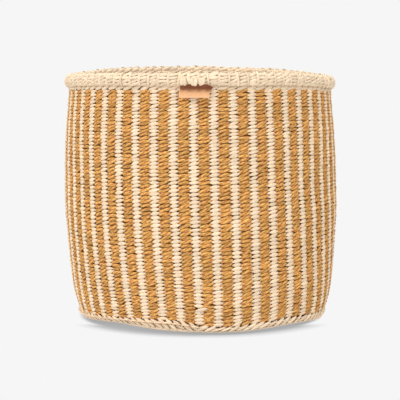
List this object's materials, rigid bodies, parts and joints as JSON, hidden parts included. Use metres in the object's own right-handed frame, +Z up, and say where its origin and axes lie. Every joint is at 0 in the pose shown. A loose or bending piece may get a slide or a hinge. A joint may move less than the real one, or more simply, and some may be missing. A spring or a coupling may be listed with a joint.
{
  "type": "woven storage basket",
  "caption": "Round open storage basket, twined from sisal in upright cream and gold stripes, with a thick bound rim, a braided foot and a small bare leather tab.",
  "frame": {"origin": "on the floor, under the middle of the basket's bounding box", "axes": "+Z up, -Y to the front; the leather tab faces 2.4 degrees to the left of -Y"},
  "size_m": [0.2632, 0.2632, 0.2386],
  "materials": {
    "sisal_natural": "matt natural sisal strand, pale cream",
    "sisal_warp": "matt natural sisal cord inside the weave",
    "sisal_dyed": "matt sisal strand dyed golden brown",
    "leather": "smooth tan leather with a soft sheen"
  },
  "bodies": {
    "basket": {"base_spokes": "sisal_warp", "base_weave_inside": "sisal_natural", "base_weave_under": "sisal_natural", "dyed_weft_inside": "sisal_dyed", "dyed_weft_outside": "sisal_dyed", "foot_ring": "sisal_natural", "natural_weft_inside": "sisal_natural", "natural_weft_outside": "sisal_natural", "rim_band": "sisal_natural", "rim_braid": "sisal_natural", "tab_binding_left": "sisal_natural", "tab_binding_middle": "sisal_natural", "tab_binding_right": "sisal_natural", "tab_seam": "leather", "warp_cords": "sisal_warp"},
    "label_tab": {"tab_flap": "leather"}
  },
  "joints": [
    {"name": "tab_lift", "type": "hinge", "parent": "basket", "child": "label_tab", "pos_m": [-0.00547, -0.13039, 0.2243], "axis": [-0.9991, 0.0419, 0], "range_deg": [0, 60], "stiffness_Nm_per_rad": 0.0008}
  ]
}
